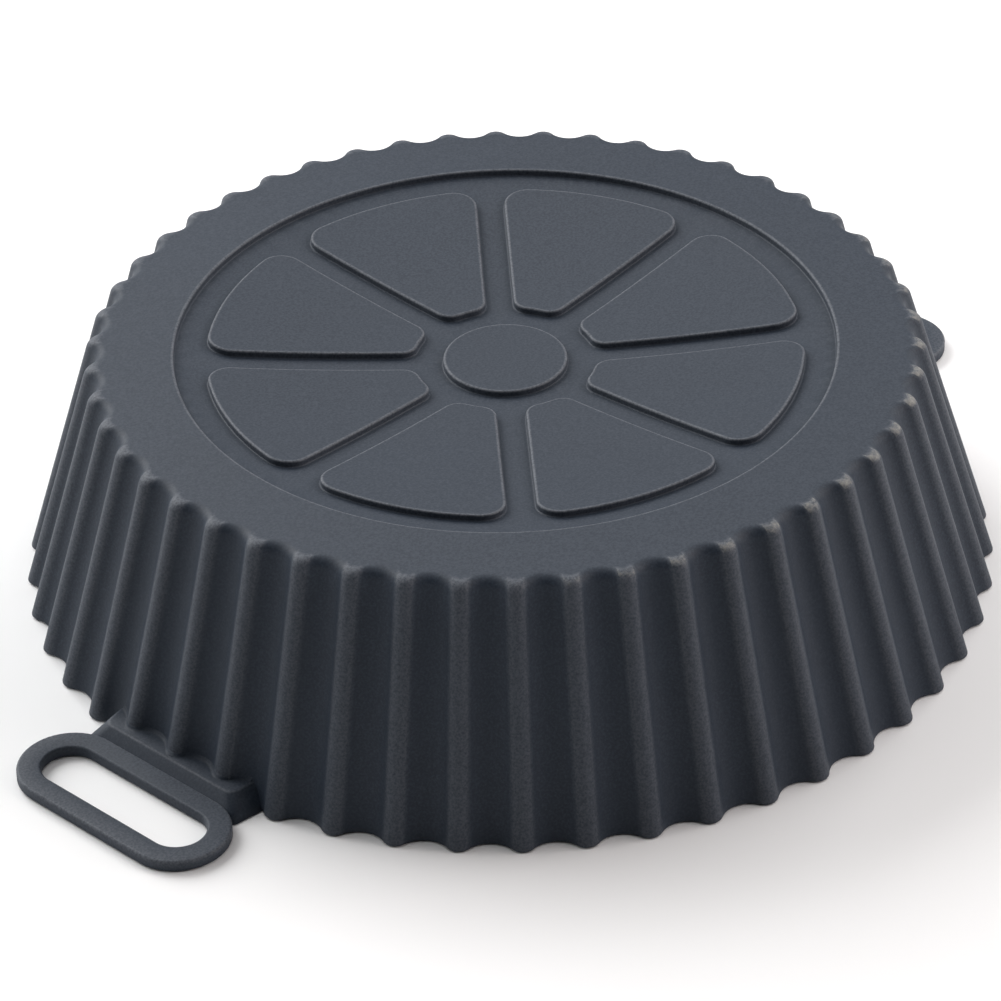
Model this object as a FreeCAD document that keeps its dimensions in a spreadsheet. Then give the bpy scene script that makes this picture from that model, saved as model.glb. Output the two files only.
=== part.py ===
import FreeCAD, Part
import Sketcher
import math
import os

# Basket liner of moulded silicone, modelled upside down as it stands on its rim.
# Millimetres, +Z up, origin at the centre of the rim plane, handles along X.

doc = FreeCAD.newDocument("BasketLiner")
V = FreeCAD.Vector

# Driving dimensions
SIZES = [
    ("rim_dia", 200.0, "across the flute crests at the open rim"),
    ("top_dia", 168.5, "across the flute crests at the closed end, before rounding"),
    ("tall", 51.3, "rim plane to the flat land of the closed end"),
    ("wall", 1.8, "side wall, measured along a radius"),
    ("floor_thick", 2.0, "closed end"),
    ("flute_count", 50, "flutes round the wall, even so that both handles meet a crest"),
    ("flute_depth", 2.8, "crest to valley at the rim"),
    ("crest_round", 2.7, "outer radius of a crest at the rim"),
    ("groove_round", 0.9, "inner radius behind a crest at the rim"),
    ("shoulder_round", 2.5, "rounding between wall and closed end"),
    ("land_width", 17.6, "crest corner to the edge of the round recess"),
    ("recess_depth", 1.4, "recess below the tops of the raised fields"),
    ("dish_depth", 4.3, "hollow of the closed end at its middle"),
    ("ring_channel", 6.3, "channel between recess edge and fields"),
    ("field_count", 8, "raised fields round the hub"),
    ("spoke_width", 5.8, "channel between two fields"),
    ("hub_dia", 25.1, "raised hub in the middle"),
    ("hub_channel", 5.85, "channel round the hub"),
    ("field_corner", 4.9, "outer corner rounding of a field"),
    ("field_tip", 3.6, "inner corner rounding of a field"),
    ("slot_long", 41.0, "finger slot along the rim"),
    ("slot_wide", 11.3, "finger slot across"),
    ("bar_width", 4.8, "band round the finger slot"),
    ("handle_thick", 2.4, "handle ring"),
    ("handle_edge", 0.6, "softened edge of the handle ring"),
    ("handle_gap", 1.35, "rim crest to the back of the handle ring"),
    ("root_height", 4.4, "height of the web that joins a handle ring to the wall"),
    ("root_slope", 40.0, "lean of the web's faces, in degrees"),
    ("root_span", 46.0, "length of the web inside the wall"),
    ("root_front", 41.0, "length of the web under the ring"),
]

sheet = doc.addObject("Spreadsheet::Sheet", "Sizes")
for row, (alias, value, note) in enumerate(SIZES, start=1):
    sheet.set("A%d" % row, alias)
    sheet.set("B%d" % row, str(value))
    sheet.set("C%d" % row, note)
    sheet.setAlias("B%d" % row, alias)
doc.recompute()


def size(alias):
    return float(getattr(sheet, alias))


def polar(radius, angle, z):
    return V(radius * math.cos(angle), radius * math.sin(angle), z)


# Points along an arc from start to end, the end left out, as short chords
def chords(centre, start, end, count):
    first = math.atan2(start.y - centre.y, start.x - centre.x)
    last = math.atan2(end.y - centre.y, end.x - centre.x)
    sweep = (last - first + math.pi) % (2 * math.pi) - math.pi
    radius = (start - centre).Length
    return [centre + polar(radius, first + sweep * step / count, 0) for step in range(count)]


# One closed section of the fluted wall. Each flute is a tight crest arc and a wide valley arc, tangent
# to each other: the valley radius follows from the crest radius, the depth and the pitch. The arcs are
# laid as chords, which leave the outer arcs by less than a tenth of a millimetre.
def flutedPoints(crestRadius, crestRound, crestChords, valleyChords):
    count = int(size("flute_count"))
    half = math.pi / count
    crestCentre = crestRadius - crestRound
    valleyFloor = crestRadius - size("flute_depth")
    spread = crestCentre ** 2 + valleyFloor ** 2 - crestRound ** 2
    spread -= 2 * crestCentre * valleyFloor * math.cos(half)
    valleyRound = spread / (2 * (crestRound + crestCentre * math.cos(half) - valleyFloor))
    share = crestRound / (crestRound + valleyRound)

    def meeting(crest, valley):
        inner = polar(crestCentre, crest, 0)
        return inner + (polar(valleyFloor + valleyRound, valley, 0) - inner) * share

    points = []
    for flute in range(count):
        crest = 2 * half * flute
        before = meeting(crest, crest - half)
        after = meeting(crest, crest + half)
        following = meeting(crest + 2 * half, crest + half)
        points += chords(polar(crestCentre, crest, 0), before, after, crestChords)
        points += chords(polar(valleyFloor + valleyRound, crest + half, 0), after, following, valleyChords)
    return points


# A form lofted through one fluted outline at several levels. At each level the outline is scaled to
# its radius, so the flutes narrow with the wall and every face between two levels is flat.
def flutedForm(name, outline, levels):
    sections = []
    for number, (scale, z) in enumerate(levels):
        points = [V(point.x * scale, point.y * scale, z) for point in outline]
        section = doc.addObject("Part::Feature", "%sSection%d" % (name, number))
        section.Shape = Part.makePolygon(points + points[:1])
        sections.append(section)
    form = doc.addObject("Part::Loft", name)
    form.Sections = sections
    form.Solid = True
    form.Ruled = True
    form.Linearize = True
    return form


# Outer form: straight flare, then the shoulder rounding in steps
tall = size("tall")
rimRadius = size("rim_dia") / 2
topRadius = size("top_dia") / 2
lean = math.atan2(rimRadius - topRadius, tall)
shoulder = size("shoulder_round")
shoulderRadius = topRadius - shoulder * math.tan((math.pi / 2 - lean) / 2)
shoulderSteps = 3

outerLevels = [(1, 0)]
for step in range(shoulderSteps + 1):
    turn = lean + (math.pi / 2 - lean) * step / shoulderSteps
    radius = shoulderRadius + shoulder * math.cos(turn)
    outerLevels.append((radius / rimRadius, tall - shoulder + shoulder * math.sin(turn)))
outerOutline = flutedPoints(rimRadius, size("crest_round"), crestChords=4, valleyChords=5)
outerForm = flutedForm("OuterForm", outerOutline, outerLevels)

# Cavity: the same flutes one wall further in, up to the underside of the closed end
ceiling = tall - size("floor_thick")
insideRadius = rimRadius - size("wall")
ceilingRadius = rimRadius + (topRadius - rimRadius) * ceiling / tall - size("wall")
cavityLevels = [(1, 0), (ceilingRadius / insideRadius, ceiling)]
cavityOutline = flutedPoints(insideRadius, size("groove_round"), crestChords=2, valleyChords=3)
cavityForm = flutedForm("CavityForm", cavityOutline, cavityLevels)


def originPlane(body, role):
    return [item for item in body.Origin.OriginFeatures if item.Role == role][0]


def newSketch(body, name):
    sketch = body.newObject("Sketcher::SketchObject", name)
    sketch.AttachmentSupport = (originPlane(body, "XY_Plane"), "")
    sketch.MapMode = "FlatFace"
    return sketch


def drive(sketch, constraint, expression):
    index = sketch.addConstraint(constraint)
    sketch.renameConstraint(index, "size%d" % index)
    sketch.setExpression("Constraints.size%d" % index, expression)


def arcOf(centre, radius, start, end):
    circle = Part.Circle(centre, V(0, 0, 1), radius)
    return Part.ArcOfCircle(circle, start, end)


# Outline of one raised field, symmetrical about X: two sides parallel to the spokes beside it,
# an outer and an inner arc round the middle, and four rounded corners.
def fieldOutline(sketch, outer, inner, offset, corner, tip, wedge):
    def cornerAt(radius, rounding, sign):
        reach = radius + sign * rounding
        side = offset + rounding
        angle = wedge - math.asin(side / reach)
        return V(reach * math.cos(angle), reach * math.sin(angle), 0), angle

    across = V(math.sin(wedge), -math.cos(wedge), 0)
    outCentre, outAngle = cornerAt(outer, corner, -1)
    inCentre, inAngle = cornerAt(inner, tip, 1)

    def mirrored(point):
        return V(point.x, -point.y, 0)

    up = math.pi / 2 + wedge
    sideIn = inCentre - across * tip
    sideOut = outCentre - across * corner
    outerArc = sketch.addGeometry(arcOf(V(0, 0, 0), outer, -outAngle, outAngle))
    outUpper = sketch.addGeometry(arcOf(outCentre, corner, outAngle, up))
    sideUpper = sketch.addGeometry(Part.LineSegment(sideOut, sideIn))
    inUpper = sketch.addGeometry(arcOf(inCentre, tip, up, math.pi + inAngle))
    innerArc = sketch.addGeometry(arcOf(V(0, 0, 0), inner, -inAngle, inAngle))
    inLower = sketch.addGeometry(arcOf(mirrored(inCentre), tip, math.pi - inAngle, 2 * math.pi - up))
    sideLower = sketch.addGeometry(Part.LineSegment(mirrored(sideIn), mirrored(sideOut)))
    outLower = sketch.addGeometry(arcOf(mirrored(outCentre), corner, -up, -outAngle))
    joints = [(outerArc, 2, outUpper, 1), (outUpper, 2, sideUpper, 1), (sideUpper, 2, inUpper, 1),
              (inUpper, 2, innerArc, 2), (innerArc, 1, inLower, 1), (inLower, 2, sideLower, 1),
              (sideLower, 2, outLower, 1), (outLower, 2, outerArc, 1)]
    for first, firstEnd, second, secondEnd in joints:
        sketch.addConstraint(Sketcher.Constraint("Tangent", first, firstEnd, second, secondEnd))
    sketch.addConstraint(Sketcher.Constraint("Coincident", outerArc, 3, -1, 1))
    sketch.addConstraint(Sketcher.Constraint("Coincident", innerArc, 3, -1, 1))
    sketch.addConstraint(Sketcher.Constraint("Symmetric", sideUpper, 1, sideLower, 2, -1))
    sketch.addConstraint(Sketcher.Constraint("Equal", outUpper, outLower))
    sketch.addConstraint(Sketcher.Constraint("Equal", inUpper, inLower))
    return outerArc, innerArc, outUpper, inUpper, sideUpper


# The same outline with plain corners, for the pockets on the other side of the closed end
def plainOutline(sketch, outer, inner, offset, wedge):
    outAngle = wedge - math.asin(offset / outer)
    inAngle = wedge - math.asin(offset / inner)
    upperOut = polar(outer, outAngle, 0)
    upperIn = polar(inner, inAngle, 0)
    lowerOut = polar(outer, -outAngle, 0)
    lowerIn = polar(inner, -inAngle, 0)
    outerArc = sketch.addGeometry(arcOf(V(0, 0, 0), outer, -outAngle, outAngle))
    sideUpper = sketch.addGeometry(Part.LineSegment(upperOut, upperIn))
    innerArc = sketch.addGeometry(arcOf(V(0, 0, 0), inner, -inAngle, inAngle))
    sideLower = sketch.addGeometry(Part.LineSegment(lowerIn, lowerOut))
    joints = [(outerArc, 2, sideUpper, 1), (sideUpper, 2, innerArc, 2), (innerArc, 1, sideLower, 1),
              (sideLower, 2, outerArc, 1)]
    for first, firstEnd, second, secondEnd in joints:
        sketch.addConstraint(Sketcher.Constraint("Coincident", first, firstEnd, second, secondEnd))
    sketch.addConstraint(Sketcher.Constraint("Coincident", outerArc, 3, -1, 1))
    sketch.addConstraint(Sketcher.Constraint("Coincident", innerArc, 3, -1, 1))
    return outerArc, innerArc, sideUpper, sideLower


# Upright prisms for the ring of fields and the hub. With an inset they are one wall smaller all round,
# which gives the pockets behind the raised fields.
def fieldPrisms(name, inset, insetText):
    growText = insetText.replace("-", "+")
    outer = topRadius - size("land_width") - size("ring_channel") - inset
    inner = size("hub_dia") / 2 + size("hub_channel") + inset
    offset = size("spoke_width") / 2 + inset
    wedge = math.pi / size("field_count")
    body = doc.addObject("PartDesign::Body", name)
    sketch = newSketch(body, name + "Outline")
    if inset:
        outerArc, innerArc, side, lowerSide = plainOutline(sketch, outer, inner, offset, wedge)
        drive(sketch, Sketcher.Constraint("Distance", -1, 1, lowerSide, offset),
              "Sizes.spoke_width / 2" + growText)
        drive(sketch, Sketcher.Constraint("Angle", lowerSide, 1, side, 2, 2 * wedge),
              "360 deg / Sizes.field_count")
    else:
        corner = size("field_corner")
        tip = size("field_tip")
        outline = fieldOutline(sketch, outer, inner, offset, corner, tip, wedge)
        outerArc, innerArc, cornerArc, tipArc, side = outline
        drive(sketch, Sketcher.Constraint("Radius", cornerArc, corner), "Sizes.field_corner")
        drive(sketch, Sketcher.Constraint("Radius", tipArc, tip), "Sizes.field_tip")
    drive(sketch, Sketcher.Constraint("Radius", outerArc, outer),
          "Sizes.top_dia / 2 - Sizes.land_width - Sizes.ring_channel" + insetText)
    drive(sketch, Sketcher.Constraint("Radius", innerArc, inner),
          "Sizes.hub_dia / 2 + Sizes.hub_channel" + growText)
    drive(sketch, Sketcher.Constraint("Distance", -1, 1, side, offset), "Sizes.spoke_width / 2" + growText)
    drive(sketch, Sketcher.Constraint("Angle", -1, 1, side, 2, wedge), "180 deg / Sizes.field_count")
    prism = body.newObject("PartDesign::Pad", name + "Prism")
    prism.Profile = sketch
    prism.setExpression("Length", "Sizes.dish_depth + 2 * Sizes.recess_depth + 2 * Sizes.floor_thick")
    doc.recompute()
    ring = body.newObject("PartDesign::PolarPattern", name + "Ring")
    ring.Originals = [prism]
    ring.Axis = (originPlane(body, "Z_Axis"), [""])
    ring.Angle = 360
    ring.setExpression("Occurrences", "Sizes.field_count")
    body.Tip = ring
    doc.recompute()
    hubSketch = newSketch(body, name + "HubOutline")
    hubRadius = size("hub_dia") / 2 - inset
    circle = hubSketch.addGeometry(Part.Circle(V(0, 0, 0), V(0, 0, 1), hubRadius))
    hubSketch.addConstraint(Sketcher.Constraint("Coincident", circle, 3, -1, 1))
    drive(hubSketch, Sketcher.Constraint("Radius", circle, hubRadius), "Sizes.hub_dia / 2" + insetText)
    hub = body.newObject("PartDesign::Pad", name + "Hub")
    hub.Profile = hubSketch
    hub.setExpression("Length", "Sizes.dish_depth + 2 * Sizes.recess_depth + 2 * Sizes.floor_thick")
    body.Tip = hub
    body.Placement.Rotation = FreeCAD.Rotation(V(0, 0, 1), 180 / size("field_count"))
    return body


BOWL = "((Sizes.top_dia / 2 - Sizes.land_width)^2 + Sizes.dish_depth^2) / (2 * Sizes.dish_depth)"


# Everything above a shallow bowl: its rim is the recess edge at the given depth below the land
def bowl(name, drop):
    ball = doc.addObject("Part::Sphere", name)
    ball.setExpression("Radius", BOWL)
    ball.Placement.Rotation = FreeCAD.Rotation(V(0, 1, 0), -90)
    ball.setExpression("Placement.Base.z", "Sizes.tall - Sizes.dish_depth + " + BOWL + drop)
    return ball


def combine(kind, name, base, tool):
    result = doc.addObject("Part::" + kind, name)
    result.Base = base
    result.Tool = tool
    return result


# Wheel of channels: round disc down to a bowl, less the fields, which end at a higher bowl
def wheel(name, drop, radiusText, inset, insetText):
    disc = doc.addObject("Part::Cylinder", name + "Disc")
    disc.setExpression("Radius", radiusText)
    bottom = "Sizes.tall - Sizes.dish_depth - 1.5 * Sizes.recess_depth - 1.5 * Sizes.floor_thick"
    disc.setExpression("Placement.Base.z", bottom)
    disc.setExpression("Height", "Sizes.dish_depth + 2 * Sizes.recess_depth + 2 * Sizes.floor_thick")
    low = bowl(name + "Low", drop + " - Sizes.recess_depth")
    high = bowl(name + "High", drop)
    fields = fieldPrisms(name + "Fields", inset, insetText)
    fields.setExpression("Placement.Base.z", bottom)
    dished = combine("Common", name + "Dished", disc, low)
    raised = combine("Cut", name + "Raised", fields, high)
    return combine("Cut", name, dished, raised)


recessTool = wheel("Recess", "", "Sizes.top_dia / 2 - Sizes.land_width", 0, "")
web = wheel("Web", " - Sizes.floor_thick", "Sizes.top_dia / 2 - Sizes.land_width + Sizes.wall",
            size("wall"), " - Sizes.wall")


# Closed loop of a slot: two straight sides and two round ends, along Y, centred on X
def slotLoop(sketch, centre, straight, radius):
    right = sketch.addGeometry(Part.LineSegment(V(centre + radius, -straight, 0),
                                                V(centre + radius, straight, 0)))
    far = sketch.addGeometry(arcOf(V(centre, straight, 0), radius, 0, math.pi))
    left = sketch.addGeometry(Part.LineSegment(V(centre - radius, straight, 0),
                                               V(centre - radius, -straight, 0)))
    near = sketch.addGeometry(arcOf(V(centre, -straight, 0), radius, math.pi, 2 * math.pi))
    for first, second in ((right, far), (far, left), (left, near), (near, right)):
        sketch.addConstraint(Sketcher.Constraint("Tangent", first, 2, second, 1))
    sketch.addConstraint(Sketcher.Constraint("Vertical", right))
    sketch.addConstraint(Sketcher.Constraint("Symmetric", far, 3, near, 3, -1))
    return far


# One handle: flat ring round a finger slot, and a web with sloping faces that joins it to the wall.
# The web starts well inside the wall, and the cavity takes off what is too long.
def handle(name, turn):
    straight = (size("slot_long") - size("slot_wide")) / 2
    slotRadius = size("slot_wide") / 2
    outerRadius = slotRadius + size("bar_width")
    centre = rimRadius + size("handle_gap") + outerRadius
    centreText = "Sizes.rim_dia / 2 + Sizes.handle_gap + Sizes.bar_width + Sizes.slot_wide / 2"
    body = doc.addObject("PartDesign::Body", name)
    sketch = newSketch(body, name + "Outline")
    outer = slotLoop(sketch, centre, straight, outerRadius)
    slot = slotLoop(sketch, centre, straight, slotRadius)
    drive(sketch, Sketcher.Constraint("DistanceX", -1, 1, outer, 3, centre), centreText)
    drive(sketch, Sketcher.Constraint("Radius", slot, slotRadius), "Sizes.slot_wide / 2")
    drive(sketch, Sketcher.Constraint("Radius", outer, outerRadius), "Sizes.slot_wide / 2 + Sizes.bar_width")
    drive(sketch, Sketcher.Constraint("DistanceY", -1, 1, outer, 3, straight),
          "(Sizes.slot_long - Sizes.slot_wide) / 2")
    sketch.addConstraint(Sketcher.Constraint("Coincident", slot, 3, outer, 3))
    ring = body.newObject("PartDesign::Pad", name + "Ring")
    ring.Profile = sketch
    ring.setExpression("Length", "Sizes.handle_thick")
    doc.recompute()
    soft = body.newObject("PartDesign::Chamfer", name + "Soft")
    thick = size("handle_thick")
    rimEdges = []
    for index, edge in enumerate(ring.Shape.Edges, start=1):
        level = edge.BoundBox.ZMax
        if edge.BoundBox.ZLength < 0.001 and level > thick / 2:
            rimEdges.append("Edge%d" % index)
    soft.Base = (ring, rimEdges)
    soft.setExpression("Size", "Sizes.handle_edge")
    body.Tip = soft
    doc.recompute()
    rootSketch = newSketch(body, name + "RootOutline")
    back = rimRadius - 3 * (size("flute_depth") + size("wall"))
    front = rimRadius + size("handle_gap") + size("bar_width") / 2
    backHalf = size("root_span") / 2
    frontHalf = size("root_front") / 2
    corners = [V(back, -backHalf, 0), V(front, -frontHalf, 0), V(front, frontHalf, 0), V(back, backHalf, 0)]
    sides = []
    for first, second in zip(corners, corners[1:] + corners[:1]):
        sides.append(rootSketch.addGeometry(Part.LineSegment(first, second)))
    for first, second in zip(sides, sides[1:] + sides[:1]):
        rootSketch.addConstraint(Sketcher.Constraint("Coincident", first, 2, second, 1))
    rootSketch.addConstraint(Sketcher.Constraint("Symmetric", sides[1], 1, sides[1], 2, -1))
    rootSketch.addConstraint(Sketcher.Constraint("Symmetric", sides[3], 1, sides[3], 2, -1))
    drive(rootSketch, Sketcher.Constraint("DistanceX", -1, 1, sides[3], 1, back),
          "Sizes.rim_dia / 2 - 3 * (Sizes.flute_depth + Sizes.wall)")
    drive(rootSketch, Sketcher.Constraint("DistanceX", -1, 1, sides[1], 1, front),
          "Sizes.rim_dia / 2 + Sizes.handle_gap + Sizes.bar_width / 2")
    drive(rootSketch, Sketcher.Constraint("DistanceY", sides[3], 2, sides[3], 1, 2 * backHalf),
          "Sizes.root_span")
    drive(rootSketch, Sketcher.Constraint("DistanceY", sides[1], 1, sides[1], 2, 2 * frontHalf),
          "Sizes.root_front")
    root = body.newObject("PartDesign::Pad", name + "Root")
    root.Profile = rootSketch
    root.setExpression("Length", "Sizes.root_height")
    root.setExpression("TaperAngle", "-Sizes.root_slope")
    body.Tip = root
    body.Placement.Rotation = FreeCAD.Rotation(V(0, 0, 1), turn)
    return body


# One moulding: outer form and handles, less the cavity round the web, less the recess
withHandles = doc.addObject("Part::MultiFuse", "WithHandles")
withHandles.Shapes = [outerForm, handle("RightHandle", 0), handle("LeftHandle", 180)]
cavity = combine("Cut", "Cavity", cavityForm, web)
hollow = combine("Cut", "Hollow", withHandles, cavity)
liner = combine("Cut", "Liner", hollow, recessTool)
liner.Label = "liner"
doc.recompute()

failed = [item.Name for item in doc.Objects if "Invalid" in item.State or "Error" in item.State]
if failed:
    raise RuntimeError("failed objects: " + ", ".join(failed))
if liner.Shape.isNull() or not liner.Shape.isValid() or len(liner.Shape.Solids) != 1:
    raise RuntimeError("the liner is not one valid solid")

os.makedirs("parts", exist_ok=True)
liner.Shape.exportStep("parts/liner.step")
print("liner: volume %.1f mm3, %d faces" % (liner.Shape.Volume, len(liner.Shape.Faces)))
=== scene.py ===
import math

import bmesh
import bpy
import numpy as np
from mathutils import Matrix, Vector


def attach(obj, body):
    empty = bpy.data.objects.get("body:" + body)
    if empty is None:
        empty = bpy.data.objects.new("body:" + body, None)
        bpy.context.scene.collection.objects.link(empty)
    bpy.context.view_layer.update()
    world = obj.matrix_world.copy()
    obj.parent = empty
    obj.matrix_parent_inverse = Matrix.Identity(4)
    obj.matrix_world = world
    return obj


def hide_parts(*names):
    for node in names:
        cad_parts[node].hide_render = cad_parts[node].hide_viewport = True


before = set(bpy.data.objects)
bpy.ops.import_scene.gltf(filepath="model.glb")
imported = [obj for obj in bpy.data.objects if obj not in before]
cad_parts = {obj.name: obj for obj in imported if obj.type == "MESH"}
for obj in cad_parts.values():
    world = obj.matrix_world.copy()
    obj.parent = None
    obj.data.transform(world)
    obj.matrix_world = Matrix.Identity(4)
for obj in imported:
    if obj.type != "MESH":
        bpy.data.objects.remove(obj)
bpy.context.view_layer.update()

print("liner scene: frame loaded")

# the liner, in millimetres and degrees: its sizes as the part has them, its small round edges and the bands
# beside them, how much its flats and crests are painted lighter as rubbing and painted light, towards which
# side the pale scuffs and painted highlights on the crests are strongest, and its mesh
liner = {
    "rimRadius": 100.0, "topScale": 0.8425, "tall": 51.3,
    "wall": 1.8, "floorThick": 2.0,
    "flutes": 50, "fluteDepth": 2.8, "crestRound": 2.7, "grooveRound": 0.9,
    "shoulderRound": 2.5, "landWidth": 17.6,
    "recessDepth": 1.4, "dishDepth": 4.3,
    "fields": 8, "halfSpoke": 2.9, "fieldOuter": 60.35, "fieldInner": 18.4,
    "fieldCorner": 4.9, "fieldTip": 3.6, "hubRadius": 12.55,
    "topEdge": 0.45, "foot": 0.3, "rimEdge": 0.45,
    "innerEdge": 0.3, "innerFillet": 1.2, "edgeBand": 0.2, "shoulderBand": 0.8, "innerBand": 0.5,
    # flats, edges and crests are painted lighter, partly as rubbing and partly as painted light, so the
    # valleys and corners stay dark as painted shade; the shoulder's crest tips are painted pale, partly as
    # scuffs and partly as painted highlight
    "flatRubAndLight": 0.12, "crestRubAndLight": 0.42, "scuffAndHighlightRub": 0.35, "scuffAndHighlightSide": -70.0, "scuffAndHighlightLeast": 0.4,
    "crestColumns": 6, "valleyColumns": 6, "shoulderRows": 9,
    "outerArcColumns": 38, "cornerColumns": 12, "sideColumns": 28, "innerArcColumns": 14,
}
recessRadius = liner["rimRadius"] * liner["topScale"] - liner["landWidth"]

# a finger handle, in millimetres and degrees: its ring, the web that roots it in the wall, and its mesh
handle = {
    "ringCentre": 111.8, "halfStraight": 14.85, "ringRadius": 8.05, "barWidth": 4.8, "thick": 2.4,
    "topRound": 0.55, "bottomRound": 0.3, "flatRubAndLight": 0.2,
    "webTall": 4.4, "webSlope": 40.0, "webFront": 103.4, "webFrontHalf": 20.5,
    "webBack": 85.9, "webBackHalf": 23.0, "webCorner": 2.2, "webEdge": 0.9, "webFillet": 0.7,
    "webUnderside": 0.02, "webTipHeight": 2.0, "webReach": 14.0, "webReachStep": 0.01,
    "ringEndColumns": 28, "ringSideColumns": 16,
    "webEndColumns": 14, "webCornerColumns": 7, "webFrontColumns": 61, "webCloseColumns": 20,
}


# an arc of unit steps: cosine and sine over a quarter turn, as many rows as asked for
def quarter(steps):
    turn = np.linspace(0, math.pi / 2, steps + 1)
    return np.cos(turn), np.sin(turn)


# a loop made of arcs and straight sides, one row for each: how many columns, the centre at its start and
# end, the radius at its start and end, and the direction of its normal at its start and end. A point is
# the centre plus the radius times the normal, so a larger radius gives the parallel loop outside it.
def arcLoop(rows):
    centres, radii, angles = [], [], []
    for count, centreFrom, centreTo, radiusFrom, radiusTo, angleFrom, angleTo in rows:
        share = np.arange(count) / count
        centres.append(np.outer(1 - share, centreFrom) + np.outer(share, centreTo))
        radii.append(radiusFrom + share * (radiusTo - radiusFrom))
        angles.append(angleFrom + share * (angleTo - angleFrom))
    return np.concatenate(centres), np.concatenate(radii), np.concatenate(angles)


# the points of an arc loop, moved outwards by a distance
def loopAt(loop, outwards=0.0):
    centres, radii, angles = loop
    normals = np.stack([np.cos(angles), np.sin(angles)], axis=1)
    return centres + (radii + outwards)[:, None] * normals


# faces between neighbouring rows and columns of a grid whose last column joins its first; they face up
# where the rows go outwards and the columns anticlockwise
def gridFaces(rows, columns, flipped=False):
    row, column = np.meshgrid(np.arange(rows - 1), np.arange(columns), indexing="ij")
    nextColumn = (column + 1) % columns
    corners = [row * columns + column, (row + 1) * columns + column,
               (row + 1) * columns + nextColumn, row * columns + nextColumn]
    faces = np.stack(corners, axis=-1).reshape(-1, 4)
    return faces[:, ::-1] if flipped else faces


# one outline of the fluted wall: crests of a small radius and wide valleys between them, each an arc,
# tangent where they meet. Crest centres lie on a circle, and so do the valley centres, half a flute on.
def flutedLoop(crestRadius, crestRound):
    s = liner
    half = math.pi / s["flutes"]
    crestCircle = crestRadius - crestRound
    valleyRadius = crestRadius - s["fluteDepth"]
    valleyRound = ((crestCircle ** 2 + valleyRadius ** 2 - crestRound ** 2
                    - 2 * crestCircle * valleyRadius * math.cos(half))
                   / (2 * (crestRound + crestCircle * math.cos(half) - valleyRadius)))
    valleyCircle = valleyRadius + valleyRound
    lean = math.atan2(valleyCircle * math.sin(half), valleyCircle * math.cos(half) - crestCircle)
    rows = []
    for flute in range(s["flutes"]):
        turn = 2 * half * flute
        crest = (crestCircle * math.cos(turn), crestCircle * math.sin(turn))
        valley = (valleyCircle * math.cos(turn + half), valleyCircle * math.sin(turn + half))
        rows.append((s["crestColumns"], crest, crest, crestRound, crestRound, turn, turn + lean))
        rows.append((s["valleyColumns"], valley, valley, -valleyRound, -valleyRound,
                     turn + lean, turn + half))
        rows.append((s["valleyColumns"], valley, valley, -valleyRound, -valleyRound,
                     turn + half, turn + 2 * half - lean))
        nextCrest = (crestCircle * math.cos(turn + 2 * half), crestCircle * math.sin(turn + 2 * half))
        rows.append((s["crestColumns"], nextCrest, nextCrest, crestRound, crestRound,
                     turn + 2 * half - lean, turn + 2 * half))
    return arcLoop(rows)


# height of the dished closed end over a radius: the cap of a sphere whose lowest point is its middle
def dishHeight(radius):
    s = liner
    sphere = (recessRadius ** 2 + s["dishDepth"] ** 2) / (2 * s["dishDepth"])
    return s["tall"] - s["dishDepth"] + sphere - np.sqrt(sphere ** 2 - radius ** 2)


# outline of one field about the X axis: outer arc, corner, straight side, tip, inner arc, and back. It is
# turned so that its first column is half-way round the lower outer corner.
def fieldLoop():
    s = liner
    half = math.pi / s["fields"]
    along = np.array([math.cos(half), math.sin(half)])
    across = np.array([-math.sin(half), math.cos(half)])

    def roundCentre(distance, radius):
        off = s["halfSpoke"] + radius
        return along * math.sqrt(distance ** 2 - off ** 2) - across * off

    corner = roundCentre(s["fieldOuter"] - s["fieldCorner"], s["fieldCorner"])
    tip = roundCentre(s["fieldInner"] + s["fieldTip"], s["fieldTip"])
    mirror = np.array([1, -1])
    cornerTurn, tipTurn = math.atan2(corner[1], corner[0]), math.atan2(tip[1], tip[0])
    side = half + math.pi / 2
    middle = (0.0, 0.0)
    cornerRound, tipRound = s["fieldCorner"], s["fieldTip"]
    lowerSide = 2 * math.pi - side
    rows = [
        (s["outerArcColumns"], middle, middle, s["fieldOuter"], s["fieldOuter"], -cornerTurn, cornerTurn),
        (s["cornerColumns"], corner, corner, cornerRound, cornerRound, cornerTurn, side),
        (s["sideColumns"], corner, tip, cornerRound, tipRound, side, side),
        (s["cornerColumns"], tip, tip, tipRound, tipRound, side, tipTurn + math.pi),
        (s["innerArcColumns"], middle, middle, -s["fieldInner"], -s["fieldInner"],
         math.pi + tipTurn, math.pi - tipTurn),
        (s["cornerColumns"], tip * mirror, tip * mirror, tipRound, tipRound, math.pi - tipTurn, lowerSide),
        (s["sideColumns"], tip * mirror, corner * mirror, tipRound, cornerRound, lowerSide, lowerSide),
        (s["cornerColumns"], corner * mirror, corner * mirror, cornerRound, cornerRound,
         lowerSide, 2 * math.pi - cornerTurn),
    ]
    shift = s["cornerColumns"] // 2
    return tuple(np.roll(values, shift, axis=0) for values in arcLoop(rows))


# edge of the cell that a field stands in, column for column with its outline: the foot of the ring,
# the middle line of a spoke, the foot of the hub, and the middle line of the other spoke
def cellEdge(ringFoot, hubFoot):
    s = liner
    half = math.pi / s["fields"]
    ring = s["outerArcColumns"] + s["cornerColumns"]
    side = s["sideColumns"] + s["cornerColumns"]
    hub = s["innerArcColumns"] + s["cornerColumns"]
    radius = np.concatenate([np.full(ring, ringFoot), np.linspace(ringFoot, hubFoot, side, endpoint=False),
                             np.full(hub, hubFoot), np.linspace(hubFoot, ringFoot, side, endpoint=False)])
    angle = np.concatenate([np.linspace(-half, half, ring, endpoint=False), np.full(side, half),
                            np.linspace(half, -half, hub, endpoint=False), np.full(side, -half)])
    return np.stack([radius * np.cos(angle), radius * np.sin(angle)], axis=1)
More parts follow.
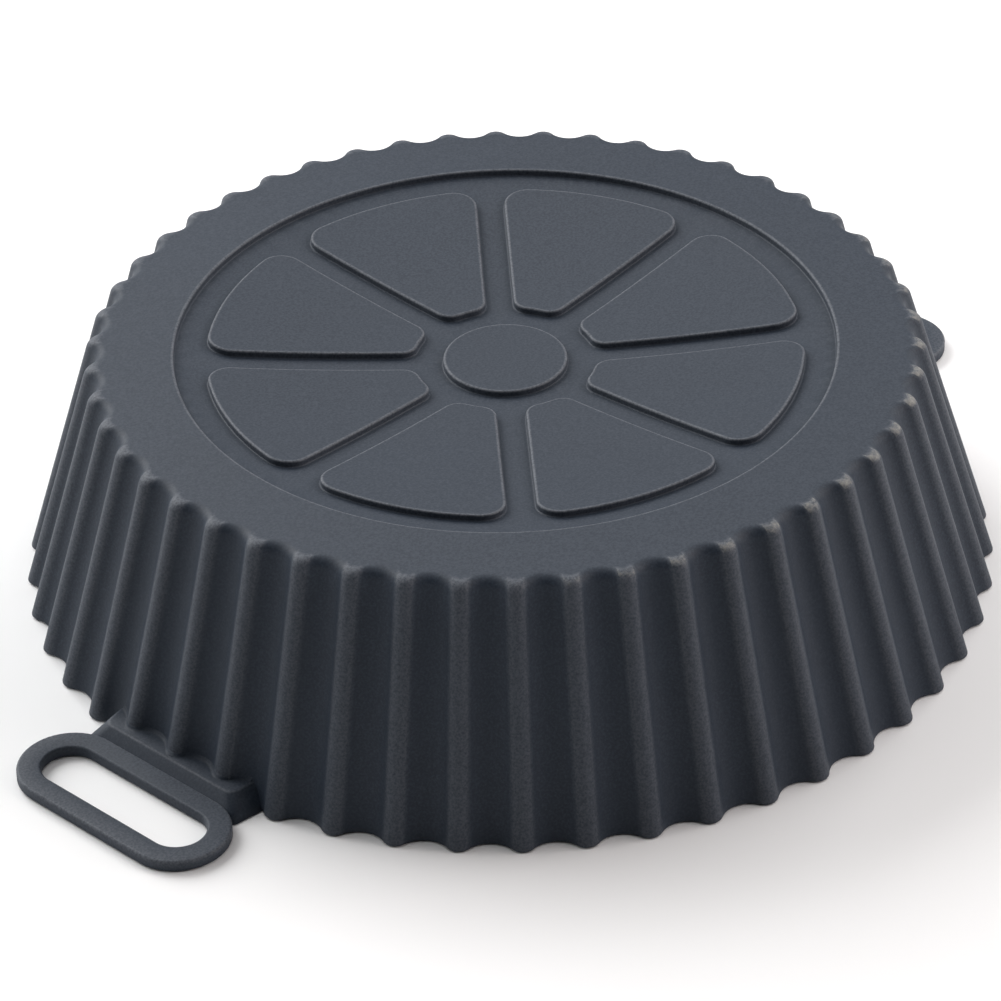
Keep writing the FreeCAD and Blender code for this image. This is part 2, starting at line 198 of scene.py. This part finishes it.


# the step down from a raised edge: how far out and how far down each row of it lies, and how much it is
# painted lighter: rubbing and painted highlight over the top edge, a little painted light on the side, and
# the foot left dark as painted shade.
# A quarter circle over the top edge, an upright side and a quarter circle at the foot, with a narrow flat
# band before and after them.
def stepProfile(depth, topEdge, foot):
    cosine, sine = quarter(4)
    band = liner["edgeBand"]
    out = np.concatenate([[-topEdge - band], -topEdge + topEdge * sine, foot - foot * cosine, [foot + band]])
    down = np.concatenate([[0], topEdge - topEdge * cosine, depth - foot + foot * sine, [depth]])
    flat = liner["flatRubAndLight"]
    # top edge painted pale as rubbing and painted highlight, the side a little lighter as painted light, the
    # foot dark as painted shade
    rubAndLight = np.array([flat, 0.75, 1.0, 1.0, 0.8, 0.4, 0.3, 0.2, 0.1, 0.0, 0.0, 0.0])
    return out, down, rubAndLight


# the wheel of fields round a hub in a shallow round recess, on the dish. Every field is a ring of rows
# from its middle out to the edge of its cell, the cells meet on the spokes' middle lines, and the hub and
# the recess wall close the two ends. The inner wheel is the same one lower, with smaller fields and a wider
# recess. It returns the shells and the radius of the last circle round the recess.
def wheelShells(ringRadius, capDrop, inset, topEdge, foot, flipped):
    s = liner
    depth = s["recessDepth"]
    out, down, rubAndLight = stepProfile(depth, topEdge, foot)
    loop = fieldLoop()
    hubRadius = s["hubRadius"] - inset
    edge = cellEdge(ringRadius - foot, hubRadius + foot + s["edgeBand"])
    columns = len(edge)

    capShares = np.array([0.0, 0.4, 0.8])
    skirtShares = np.array([0.3, 1.0])
    step = [loopAt(loop, distance - inset) for distance in out]
    middle = np.array([0.5 * (s["fieldOuter"] + s["fieldInner"]), 0.0])
    cap = [middle + share * (step[0] - middle) for share in capShares]
    skirt = [step[-1] + share * (edge - step[-1]) for share in skirtShares]
    cell = np.stack(cap + step + skirt)
    drop = np.concatenate([np.zeros(len(cap)), down, np.full(len(skirt), depth)])
    height = dishHeight(np.linalg.norm(cell, axis=2)) + capDrop - drop[:, None]
    # the cap is lightly rubbed, and the skirt is darker towards the foot of the step as painted shade
    capRubAndLight = np.full(len(cap), s["flatRubAndLight"])
    skirtRubAndLight = s["flatRubAndLight"] * np.array([0.7, 1.0])
    cellRubAndLight = np.repeat(np.concatenate([capRubAndLight, rubAndLight, skirtRubAndLight]), columns)
    shells = []
    for field in range(s["fields"]):
        turn = 2 * math.pi * (field + 0.5) / s["fields"]
        x = cell[..., 0] * math.cos(turn) - cell[..., 1] * math.sin(turn)
        y = cell[..., 0] * math.sin(turn) + cell[..., 1] * math.cos(turn)
        points = np.stack([x, y, height], axis=-1).reshape(-1, 3)
        faces = gridFaces(len(cell), columns, flipped=flipped)
        shells.append((points, faces, np.zeros(len(points)), cellRubAndLight))

    # hub: circles from its middle to its foot
    hubColumns = s["fields"] * (s["innerArcColumns"] + s["cornerColumns"])
    radius = np.concatenate([hubRadius * capShares, hubRadius + out])
    drop = np.concatenate([np.zeros(len(capShares)), down])
    height = dishHeight(radius) + capDrop - drop
    shells.append(ringShell(radius, height, hubColumns, np.concatenate([capRubAndLight, rubAndLight]), flipped))

    # wall of the recess: circles from its foot up to its lip and out on to the flat round it
    cosine, sine = quarter(4)
    floor = dishHeight(ringRadius - foot) + capDrop - depth
    top = s["tall"] + capDrop
    radius = np.concatenate([ringRadius - foot + foot * sine, ringRadius + topEdge - topEdge * cosine,
                             [ringRadius + topEdge + s["edgeBand"]]])
    height = np.concatenate([floor + foot - foot * cosine, top - topEdge + topEdge * sine, [top]])
    ringColumns = s["fields"] * (s["outerArcColumns"] + s["cornerColumns"])
    # the recess wall: dark at its foot as painted shade, pale over its lip as rubbing and painted highlight
    lipRubAndLight = np.array([0.0, 0.0, 0.1, 0.2, 0.3, 0.4, 0.8, 1.0, 1.0, 0.75, s["flatRubAndLight"]])
    shells.append(ringShell(radius, height, ringColumns, lipRubAndLight, flipped))
    return shells, radius[-1]


# circles about the Z axis, one for each radius and height
def ringShell(radius, height, columns, rubAndLight, flipped=False):
    turn = 2 * math.pi * np.arange(columns) / columns
    points = np.stack([np.outer(radius, np.cos(turn)), np.outer(radius, np.sin(turn)),
                       np.repeat(height[:, None], columns, axis=1)], axis=-1).reshape(-1, 3)
    faces = gridFaces(len(radius), columns, flipped=flipped)
    return points, faces, np.zeros(len(points)), np.repeat(rubAndLight, columns)


# the fluted cup from the flat round the outer recess, over the shoulder, down the wall, round the rim, up
# the inside and in to the edge of the inner wheel. A row is an outline scaled about the Z axis and moved
# out along its normal. The first and last rows are circles of a third as many points, each one repeated.
def cupShell(outerCircle, innerCircle):
    s = liner
    outer = flutedLoop(s["rimRadius"], s["crestRound"])
    inner = flutedLoop(s["rimRadius"] - s["wall"], s["grooveRound"])
    columns = len(outer[1])
    ringColumns = s["fields"] * (s["outerArcColumns"] + s["cornerColumns"])
    nearest = np.round(np.arange(columns) / (columns / ringColumns)) % ringColumns
    nearestTurn = nearest * 2 * math.pi / ringColumns
    circle = np.stack([np.cos(nearestTurn), np.sin(nearestTurn)], axis=1)
    rows, heights, wearAndHighlight = [], [], []

    def addRow(outline, height, wornAndLit=0.0):
        rows.append(outline)
        heights.append(height)
        wearAndHighlight.append(wornAndLit)

    # the land, and the shoulder: an arc between it and the leaning wall, painted pale most at its upper
    # part, partly as scuffs and partly as painted highlight
    lean = math.atan2(s["rimRadius"] * (1 - s["topScale"]), s["tall"])
    crest = s["rimRadius"] * s["topScale"] - s["shoulderRound"] * math.tan((math.pi / 2 - lean) / 2)
    addRow(circle * outerCircle, s["tall"])
    addRow(loopAt(outer) * (crest - s["shoulderBand"]) / s["rimRadius"], s["tall"])
    shoulderStart = len(rows)
    turn = np.linspace(math.pi / 2, lean, s["shoulderRows"])
    shoulderScale = (crest + s["shoulderRound"] * np.cos(turn)) / s["rimRadius"]
    shoulderHeight = s["tall"] - s["shoulderRound"] + s["shoulderRound"] * np.sin(turn)
    # pale over the top of the shoulder, partly scuffs and partly painted highlight
    shoulderWearAndHighlight = np.interp(turn, [lean, lean + 0.35, lean + 0.7, math.pi / 2], [0.15, 0.7, 1.0, 0.75])
    for scale, height, wornAndLit in zip(shoulderScale, shoulderHeight, shoulderWearAndHighlight):
        addRow(loopAt(outer) * scale, height, wornAndLit)

    # the wall, and the outer edge of the rim
    wallTop, wallFoot = shoulderHeight[-1], s["rimEdge"]
    for share in (0.012, 0.04, 0.12, 0.3, 0.97, 1.0):
        height = wallTop + share * (wallFoot - wallTop)
        scale = 1 - (1 - s["topScale"]) * height / s["tall"]
        # a little pale left at the top of the wall, partly scuff and partly painted highlight
        addRow(loopAt(outer) * scale, height, max(0.0, 0.15 - share))
    wallEnd = len(rows)
    cosine, sine = quarter(3)
    for across, upward in zip(cosine[1:], sine[1:]):
        height = s["rimEdge"] * (1 - upward)
        scale = 1 - (1 - s["topScale"]) * height / s["tall"]
        addRow(loopAt(outer, -s["rimEdge"] * (1 - across)) * scale, height)

    # the inner edge of the rim, the inside of the wall, and the fillet to the inside of the closed end
    innerTop = s["tall"] - s["floorThick"]
    innerScale = (s["rimRadius"] * (1 - (1 - s["topScale"]) * innerTop / s["tall"]) - s["wall"]) / (
        s["rimRadius"] - s["wall"])
    lip, fillet = s["innerEdge"], s["innerFillet"]
    for across, upward in zip(cosine, sine):
        addRow(loopAt(inner, lip * (1 - upward)), lip * (1 - across))
    for share in (0.05, 0.95, 1.0):
        height = lip + share * (innerTop - fillet - lip)
        addRow(loopAt(inner) * (1 - (1 - innerScale) * height / innerTop), height)
    last = 1 - (1 - innerScale) * (innerTop - fillet) / innerTop
    for across, upward in zip(cosine[1:], sine[1:]):
        addRow(loopAt(inner) * (last - fillet * (1 - across) / s["rimRadius"]),
               innerTop - fillet + fillet * upward)
    addRow(loopAt(inner) * (last - (fillet + s["innerBand"]) / s["rimRadius"]), innerTop)
    addRow(circle * innerCircle, innerTop)

    grid = np.stack(rows)
    level = np.broadcast_to(np.array(heights)[:, None, None], grid.shape[:2] + (1,))
    points = np.concatenate([grid, level], axis=2).reshape(-1, 3)
    # 1 on a crest and 0 in a valley, with a short slope between them where the two arcs meet
    step = np.arange(columns) % (columns // s["flutes"])
    step = np.minimum(step, columns // s["flutes"] - step)
    onCrest = np.clip((s["crestColumns"] + 1 - step) / 2.0, 0, 1)
    # the pale scuffs and painted highlights fade away from one side
    direction = np.arctan2(rows[1][:, 1], rows[1][:, 0])
    towards = np.clip(np.cos(direction - math.radians(s["scuffAndHighlightSide"])), 0, 1)
    side = s["scuffAndHighlightLeast"] + (1 - s["scuffAndHighlightLeast"]) * towards
    scuffAndHighlight = np.outer(wearAndHighlight, onCrest * side).reshape(-1)
    # the land is painted lighter all over, as rubbing and as painted light on the top face; the shoulder and
    # the wall are painted lighter only on the crests, partly as rubbing and partly as painted light, which
    # leaves the valleys dark as painted shade
    landRows, crestRows = np.zeros(len(rows)), np.zeros(len(rows))
    landRows[:4] = s["flatRubAndLight"] * np.array([1.0, 1.0, 0.7, 0.3])
    crestRows[shoulderStart:wallEnd] = s["crestRubAndLight"] + s["scuffAndHighlightRub"] * np.array(wearAndHighlight[shoulderStart:wallEnd])
    rubAndLight = np.maximum(landRows[:, None], np.outer(crestRows, onCrest))
    rubAndLight[0], rubAndLight[-2:] = s["flatRubAndLight"], s["flatRubAndLight"]
    return points, gridFaces(len(rows), columns), scuffAndHighlight, rubAndLight.reshape(-1)


# closed tube: a bar's section, given as distance across, height and how much it is painted lighter as
# rubbing and painted light, carried round a loop
def ringBar(loop, across, height, rubAndLight):
    columns = len(loop[1])
    rows = [np.column_stack([loopAt(loop, a), np.full(columns, h)]) for a, h in zip(across, height)]
    rows.append(rows[0])
    points = np.concatenate(rows)
    edge = np.repeat(np.append(rubAndLight, rubAndLight[0]), columns)
    return points, gridFaces(len(rows), columns, flipped=True), np.zeros(len(points)), edge


# section of the handle's bar: a quarter circle at each corner of a flat bar, larger above than below, with
# the upper outer one painted pale as rubbing and painted highlight, the upper inner one a little, and the
# top lighter than the underside as painted light
def barSection():
    h = handle
    half = h["barWidth"] / 2
    corners = [(half - h["bottomRound"], h["bottomRound"], h["bottomRound"], -90, 3, 0.0),
               (half - h["topRound"], h["thick"] - h["topRound"], h["topRound"], 0, 5, 1.0),
               (-half + h["topRound"], h["thick"] - h["topRound"], h["topRound"], 90, 5, 0.4),
               (-half + h["bottomRound"], h["bottomRound"], h["bottomRound"], 180, 3, 0.0)]
    across, height, rubAndLight = [], [], []
    for x, z, radius, start, steps, wornAndLit in corners:
        turn = np.radians(np.linspace(start, start + 90, steps + 1))
        across.append(x + radius * np.cos(turn))
        height.append(z + radius * np.sin(turn))
        # upper corners painted pale as rubbing and painted highlight, the top lighter than the underside as
        # painted light
        rubAndLight.append(np.maximum(h["flatRubAndLight"] if z > h["thick"] / 2 else 0.0,
                                 wornAndLit * np.sin(np.linspace(0.15, 0.85, steps + 1) * math.pi)))
    return np.concatenate(across), np.concatenate(height), np.concatenate(rubAndLight)


# the ring of one handle: the section carried round a long loop with round ends
def handleRing():
    h = handle
    x, y, r = h["ringCentre"], h["halfStraight"], h["ringRadius"]
    end, side = h["ringEndColumns"], h["ringSideColumns"]
    loop = arcLoop([(end, (x, y), (x, y), r, r, 0, math.pi),
                    (side, (x, y), (x, -y), r, r, math.pi, math.pi),
                    (end, (x, -y), (x, -y), r, r, math.pi, 2 * math.pi),
                    (side, (x, -y), (x, y), r, r, 2 * math.pi, 2 * math.pi)])
    return ringBar(loop, *barSection())


# radius of the wall's outer face, or of a face a distance further in, at a height and some directions: the
# fluted outline's, shrunk as the wall leans in
def wallRadius(direction, height, inwards):
    s = liner
    outline = loopAt(flutedLoop(s["rimRadius"], s["crestRound"]), -inwards)
    scale = 1 - (1 - s["topScale"]) * height / s["tall"]
    turn = np.arctan2(outline[:, 1], outline[:, 0])
    return np.interp(direction, turn, np.linalg.norm(outline, axis=1), period=2 * math.pi) * scale


# half of the web's outline seen from above, drawn in from its foot by a distance: from inside the wall along
# the slanting end, round the corner and along the front to the middle line. Both lines lie parallel to
# those of the foot, and the corner keeps its radius.
def webPath(inset, height):
    h = handle
    end = np.array([h["webBack"] - h["webFront"], h["webBackHalf"] - h["webFrontHalf"]])
    end = end / np.linalg.norm(end)
    normal = np.array([end[1], -end[0]])
    off = inset + h["webCorner"]
    x = h["webFront"] - off
    reach = normal @ np.array([h["webFront"], h["webFrontHalf"]]) - off
    centre = np.array([x, (reach - x * normal[0]) / normal[1]])
    corner = centre + h["webCorner"] * normal
    along = corner + np.arange(0, h["webReach"], h["webReachStep"])[:, None] * end
    direction = np.arctan2(along[:, 1], along[:, 0])
    inside = np.linalg.norm(along, axis=1) < wallRadius(direction, height, liner["wall"] / 2)
    stop = along[np.argmax(inside)]
    ends = corner + np.linspace(1, 0, h["webEndColumns"])[:, None] ** 0.8 * (stop - corner)
    turn = np.linspace(math.atan2(normal[1], normal[0]), 0, h["webCornerColumns"])
    arc = centre + h["webCorner"] * np.column_stack([np.cos(turn), np.sin(turn)])
    frontColumns = h["webFrontColumns"]
    front = np.column_stack([np.full(frontColumns, h["webFront"] - inset),
                             np.linspace(centre[1], 0, frontColumns)])
    return np.concatenate([ends[:-1], arc, front[1:]])


# the web between the ring and the wall: a low block whose front and ends lean back as they rise. A column is
# a closed section: up the leaning face, over a small round edge, in along the top, up a hollow fillet on the
# wall, down in the middle of the wall's thickness and back along the underside. Each end shrinks to a
# point inside the wall.
def handleWeb():
    h = handle
    lean = math.radians(h["webSlope"])
    edgeHeight = h["webTall"] - h["webEdge"]
    edgeOut = (-h["webEdge"] - edgeHeight * math.sin(lean)) / math.cos(lean)
    turn = np.linspace(lean, math.pi / 2, 5)
    outs = np.concatenate([[0.0, -0.5 * edgeHeight * math.tan(lean)], edgeOut + h["webEdge"] * np.cos(turn)])
    heights = np.concatenate([[h["webUnderside"], 0.5 * edgeHeight],
                              edgeHeight + h["webEdge"] * np.sin(turn)])
    rows = [(webPath(-out, height), height) for out, height in zip(outs, heights)]
    # the web's top is lighter and its small round edge pale as rubbing and painted highlight; the leaning
    # face and the fillet into the wall stay dark
    rubAndLight = [0.0, 0.0, 0.1, 0.3, 0.4, 0.3, h["flatRubAndLight"]]

    top = rows[-1][0]
    count = len(top)
    reach = math.atan2(top[0][1], top[0][0])
    # the columns lie closer together near the web's end
    close, closeShare = h["webCloseColumns"], 0.94
    share = np.concatenate([np.linspace(1, closeShare, close, endpoint=False),
                            np.linspace(closeShare, 0, count - close)])
    direction = share * reach
    ray = np.column_stack([np.cos(direction), np.sin(direction)])
    cosine, sine = quarter(4)
    for across, upward in zip(cosine, sine):
        height = h["webTall"] + h["webFillet"] * (1 - across)
        wall = ray * wallRadius(direction, height, 0.0)[:, None]
        away = np.linalg.norm(top - wall, axis=1)[:, None]
        gap = np.minimum(h["webFillet"] * (1 - upward), away * 0.6)
        rows.append((wall + (top - wall) * gap / np.maximum(away, 0.01), height))
        rubAndLight.append(0.0)
    middleOfWall = liner["wall"] / 2
    for height in (h["webTall"] + h["webFillet"], h["webUnderside"]):
        rows.append((ray * wallRadius(direction, height, middleOfWall)[:, None], height))
        rubAndLight.append(0.0)
    grid = np.stack([np.column_stack([path, np.full(count, height)]) for path, height in rows + rows[:1]])
    tipHeight = h["webTipHeight"]
    grid[:, 0] = np.array([*(ray[0] * wallRadius(direction[:1], tipHeight, middleOfWall)), tipHeight])
    mirrored = grid[:, -2::-1] * np.array([1, -1, 1])
    grid = np.concatenate([grid, mirrored], axis=1)
    rowCount, columns = grid.shape[:2]
    faces = gridFaces(rowCount, columns, flipped=True)
    # the last column doesn't join the first one
    inGrid = (faces % columns).max(axis=1) - (faces % columns).min(axis=1) < columns - 1
    points = grid.reshape(-1, 3)
    edge = np.repeat(np.array(rubAndLight + rubAndLight[:1]), columns)
    return points, faces[inGrid], np.zeros(len(points)), edge


# how near to each other points are merged, and how short an edge is dissolved, in metres
merging = {"doubles": 2e-6, "shortEdge": 1e-7}


# puts shells together as one object, with doubles merged. A shell is points, faces, how much pale scuff and
# painted highlight each point has, and how much rubbing and painted light.
def buildPiece(name, shells):
    firsts = np.cumsum([0] + [len(shell[0]) for shell in shells[:-1]])
    points = np.concatenate([shell[0] for shell in shells]) * 0.001
    faces = np.concatenate([shell[1] + first for shell, first in zip(shells, firsts)])
    mesh = bpy.data.meshes.new(name)
    mesh.from_pydata(points.tolist(), [], faces.tolist())
    for attributeName, index in (("scuffAndPaintedHighlight", 2), ("rubAndPaintedLight", 3)):
        values = np.concatenate([shell[index] for shell in shells]).astype(np.float32)
        mesh.attributes.new(attributeName, "FLOAT", "POINT").data.foreach_set("value", values)
    work = bmesh.new()
    work.from_mesh(mesh)
    bmesh.ops.remove_doubles(work, verts=work.verts, dist=merging["doubles"])
    bmesh.ops.dissolve_degenerate(work, edges=work.edges, dist=merging["shortEdge"])
    work.to_mesh(mesh)
    work.free()
    mesh.polygons.foreach_set("use_smooth", np.ones(len(mesh.polygons), bool))
    piece = bpy.data.objects.new(name, mesh)
    bpy.context.scene.collection.objects.link(piece)
    return piece


# the same shell half a turn about the Z axis away
def turned(shell):
    return (shell[0] * np.array([-1, -1, 1]), *shell[1:])


outerWheel, outerCircle = wheelShells(recessRadius, 0.0, 0.0, liner["topEdge"], liner["foot"], False)
innerWheel, innerCircle = wheelShells(recessRadius + liner["recessDepth"], -liner["floorThick"],
                                      liner["wall"], liner["innerEdge"], liner["innerEdge"], True)
cup = cupShell(outerCircle, innerCircle)
ring, web = handleRing(), handleWeb()
shells = outerWheel + innerWheel + [cup, ring, web, turned(ring), turned(web)]
liningPiece = buildPiece("liner_skin", shells)
print("liner skin:", len(liningPiece.data.vertices), "points,",
      sum(len(p.vertices) - 2 for p in liningPiece.data.polygons), "triangles")


# sRGB hex to the linear colour that a shader socket takes
def linear(hexColour):
    channels = [int(hexColour[i:i + 2], 16) / 255 for i in (1, 3, 5)]
    return [*(c / 12.92 if c <= 0.04045 else ((c + 0.055) / 1.055) ** 2.4 for c in channels), 1.0]


# adds one node, sets its properties, then its inputs: a plain value is set, an output is linked
def addNode(tree, kind, properties=None, inputs=None):
    node = tree.nodes.new(kind)
    for name, value in (properties or {}).items():
        setattr(node, name, value)
    for name, value in (inputs or {}).items():
        if isinstance(value, bpy.types.NodeSocket):
            tree.links.new(value, node.inputs[name])
        else:
            node.inputs[name].default_value = value
    return node


# moulded silicone rubber from a sand-blasted steel mould: dark slate grey and matt, with a fine grain and a
# little pale dust in it. Edges and crests are painted lighter, partly as rubbing and partly as painted
# highlight, and corners and feet are left dark as painted shade. Where the crests turn over the shoulder
# they are painted pale, partly as scuffs and partly as painted highlight. The real grain is finer, and is
# drawn half a millimetre wide to show.
def mouldedSilicone():
    # the two pale colours after the dust stand partly for rubbing and scuffs and partly for painted
    # highlight and painted light
    look = {"slate": "#232d3a", "slateDeep": "#1d2632", "dust": "#404955", "rubAndLight": "#5c6067",
            "scuffAndHighlight": "#9a9890", "mottle": 45.0, "grain": 0.5, "patch": 1.2, "roughness": 0.6}
    material = bpy.data.materials.new("moulded silicone slate")
    material.use_nodes = True
    tree = material.node_tree
    tree.nodes.clear()
    place = addNode(tree, "ShaderNodeTexCoord").outputs["Object"]

    # the grains of each noise are about as large as the look says, in millimetres
    mottle = addNode(tree, "ShaderNodeTexNoise", inputs={
        "Vector": place, "Scale": 1000 / look["mottle"], "Detail": 3.0, "Roughness": 0.6})
    slate = addNode(tree, "ShaderNodeMix", {"data_type": "RGBA"}, {
        0: mottle.outputs["Fac"], 6: linear(look["slateDeep"]), 7: linear(look["slate"])})
    grain = addNode(tree, "ShaderNodeTexNoise", inputs={
        "Vector": place, "Scale": 1000 / look["grain"], "Detail": 3.0, "Roughness": 0.65})
    dustShare = addNode(tree, "ShaderNodeMapRange", inputs={
        "Value": grain.outputs["Fac"], "From Min": 0.42, "From Max": 0.75, "To Max": 0.4})
    dusty = addNode(tree, "ShaderNodeMix", {"data_type": "RGBA"}, {
        0: dustShare.outputs["Result"], 6: slate.outputs[2], 7: linear(look["dust"])})

    # rubbed edges and painted light: pale edges and crests as rubbing and painted highlight, and darker
    # corners and feet as painted shade, broken up by the grain
    rubAndPaintedLight = addNode(tree, "ShaderNodeAttribute", {"attribute_name": "rubAndPaintedLight"})
    coarse = addNode(tree, "ShaderNodeMapRange", inputs={
        "Value": grain.outputs["Fac"], "From Min": 0.2, "From Max": 0.6})
    rubAndLightShare = addNode(tree, "ShaderNodeMath", {"operation": "MULTIPLY"}, {
        0: rubAndPaintedLight.outputs["Fac"], 1: coarse.outputs["Result"]})
    rubAndLight = addNode(tree, "ShaderNodeMix", {"data_type": "RGBA"}, {
        0: rubAndLightShare.outputs["Value"], 6: dusty.outputs[2], 7: linear(look["rubAndLight"])})

    # pale scuffs and painted highlights on the crest tips over the shoulder, in patches
    scuffAndHighlightTip = addNode(tree, "ShaderNodeAttribute", {"attribute_name": "scuffAndPaintedHighlight"})
    patch = addNode(tree, "ShaderNodeTexNoise", inputs={
        "Vector": place, "Scale": 1000 / look["patch"], "Detail": 4.0, "Roughness": 0.75})
    patchy = addNode(tree, "ShaderNodeMath", {"operation": "MULTIPLY"}, {
        0: scuffAndHighlightTip.outputs["Fac"], 1: patch.outputs["Fac"]})
    scuffAndHighlightShare = addNode(tree, "ShaderNodeMapRange", inputs={
        "Value": patchy.outputs["Value"], "From Min": 0.3, "From Max": 0.62, "To Max": 0.75})
    scuffAndPaintedHighlight = addNode(tree, "ShaderNodeMix", {"data_type": "RGBA"}, {
        0: scuffAndHighlightShare.outputs["Result"], 6: rubAndLight.outputs[2], 7: linear(look["scuffAndHighlight"])})

    bump = addNode(tree, "ShaderNodeBump", inputs={
        "Height": grain.outputs["Fac"], "Strength": 0.35, "Distance": 0.0001})
    shader = addNode(tree, "ShaderNodeBsdfPrincipled", inputs={
        "Base Color": scuffAndPaintedHighlight.outputs[2], "Roughness": look["roughness"], "IOR": 1.41,
        "Normal": bump.outputs["Normal"]})
    addNode(tree, "ShaderNodeOutputMaterial", inputs={"Surface": shader.outputs["BSDF"]})
    return material


liningPiece.data.materials.append(mouldedSilicone())
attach(liningPiece, "root")
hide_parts("liner")
print("liner skin: dressed")


# seamless paper sweep: its half width, and how far it lies under the object, in metres
paper = {"colour": "#fbfbfb", "roughness": 0.9, "half": 3.0, "under": 0.0002}


# a flat square of the paper
def paperFloor():
    material = bpy.data.materials.new("white paper sweep")
    material.use_nodes = True
    shader = material.node_tree.nodes["Principled BSDF"]
    shader.inputs["Base Color"].default_value = linear(paper["colour"])
    shader.inputs["Roughness"].default_value = paper["roughness"]
    mesh = bpy.data.meshes.new("paper_floor")
    half, level = paper["half"], -paper["under"]
    corners = [(-half, -half, level), (half, -half, level), (half, half, level), (-half, half, level)]
    mesh.from_pydata(corners, [], [(0, 1, 2, 3)])
    floor = bpy.data.objects.new("paper_floor", mesh)
    floor.data.materials.append(material)
    bpy.context.scene.collection.objects.link(floor)


paperFloor()

# camera: angles in degrees, distance, target and clipping in metres, focal length in pixels of a frame
# 1001 pixels wide, and sensor in millimetres
camera = {"elevation": 34.931, "turn": -47.286, "roll": -1.522, "distance": 0.926031,
          "target": (-0.001736, 0.0, 0.011891), "focal": 4490.525, "frame": 1001,
          "sensor": 36.0, "clipStart": 0.05, "clipEnd": 20.0}
elevation, roll = math.radians(camera["elevation"]), math.radians(camera["roll"])
backwards = Vector((0, -math.cos(elevation), math.sin(elevation)))
right = Vector((1, 0, 0))
up = backwards.cross(right)
tiltedRight = math.cos(roll) * right + math.sin(roll) * up
tiltedUp = backwards.cross(tiltedRight)
place = Vector(camera["target"]) + camera["distance"] * backwards
pose = Matrix((tiltedRight, tiltedUp, backwards)).transposed().to_4x4()
pose.translation = place
data = bpy.data.cameras.new("photo_camera")
data.sensor_width = camera["sensor"]
data.lens = camera["focal"] / camera["frame"] * data.sensor_width
data.clip_start = camera["clipStart"]
data.clip_end = camera["clipEnd"]
view = bpy.data.objects.new("photo_camera", data)
view.matrix_world = Matrix.Rotation(math.radians(camera["turn"]), 4, "Z") @ pose
bpy.context.scene.collection.objects.link(view)
bpy.context.scene.camera = view

# soft studio light: square panels that face the object from one distance, in metres. Each has its angle to
# the right of the camera's side and its elevation in degrees, its power in watts and its colour.
panels = {"distance": 1.3, "size": 1.0}
lights = {
    "topPanel": {"turn": 0.0, "elevation": 89.9, "power": 2.6, "colour": "#ffffff"},
    "backPanel": {"turn": 180.0, "elevation": 50.0, "power": 2.0, "colour": "#ffffff"},
    "backLeftPanel": {"turn": -135.0, "elevation": 35.0, "power": 18.9, "colour": "#ffffff"},
    "backRightPanel": {"turn": 135.0, "elevation": 35.0, "power": 7.4, "colour": "#ffffff"},
    "leftPanel": {"turn": -90.0, "elevation": 30.0, "power": 4.4, "colour": "#ffffff"},
    "rightPanel": {"turn": 90.0, "elevation": 30.0, "power": 10.0, "colour": "#fff6f4"},
}
for name, light in lights.items():
    turn, lift = math.radians(camera["turn"] - 90 + light["turn"]), math.radians(light["elevation"])
    direction = Vector((math.cos(lift) * math.cos(turn), math.cos(lift) * math.sin(turn), math.sin(lift)))
    data = bpy.data.lights.new(name, "AREA")
    data.shape = "SQUARE"
    data.size = panels["size"]
    data.energy = light["power"]
    data.color = linear(light["colour"])[:3]
    lamp = bpy.data.objects.new(name, data)
    facing = (-direction).to_track_quat("-Z", "Y").to_matrix().to_4x4()
    lamp.matrix_world = Matrix.Translation(panels["distance"] * direction) @ facing
    bpy.context.scene.collection.objects.link(lamp)

# faint white light from all round
surround = {"colour": "#ffffff", "strength": 0.03}
world = bpy.data.worlds.new("studio")
bpy.context.scene.world = world
world.use_nodes = True
background = world.node_tree.nodes["Background"]
background.inputs["Color"].default_value = linear(surround["colour"])
background.inputs["Strength"].default_value = surround["strength"]
bpy.context.scene.view_settings.view_transform = "Standard"
print("scene: floor, camera and lights placed")
